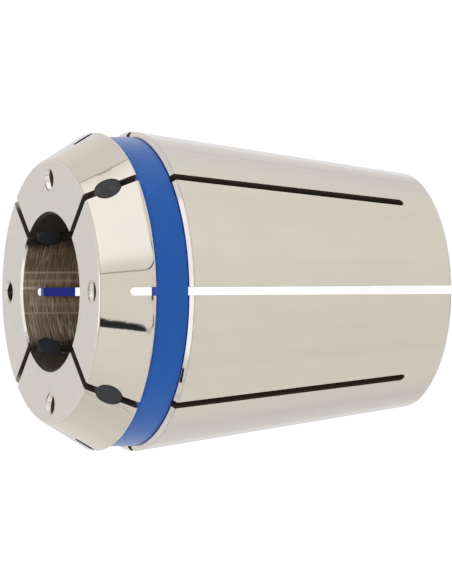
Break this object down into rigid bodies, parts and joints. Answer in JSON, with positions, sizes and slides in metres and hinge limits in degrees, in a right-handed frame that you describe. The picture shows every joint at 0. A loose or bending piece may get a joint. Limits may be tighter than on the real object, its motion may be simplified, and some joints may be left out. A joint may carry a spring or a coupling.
{
  "type": "sealed er collet",
  "caption": "Slotted steel collet with a short taper, a nose cone, a clamping bore, rubber-sealed front slots, coolant jet holes and a blue ring in its groove.",
  "frame": {"origin": "on the collet's axis, in the plane of its small end, on which it stands", "axes": "+Z along the axis from the small end to the face; +X and +Y through the slots that are open at the small end"},
  "size_m": [0.033, 0.033, 0.04],
  "materials": {
    "polished_steel": "ground and polished spring steel, fine grinding lines in the bore",
    "blue_plastic": "satin blue moulded plastic",
    "black_rubber": "dull dark grey rubber"
  },
  "bodies": {
    "root": {"collet_body": "polished_steel", "groove_ring": "blue_plastic", "slot_plug_1": "black_rubber", "slot_plug_2": "black_rubber", "slot_plug_3": "black_rubber", "slot_plug_4": "black_rubber"}
  },
  "joints": []
}
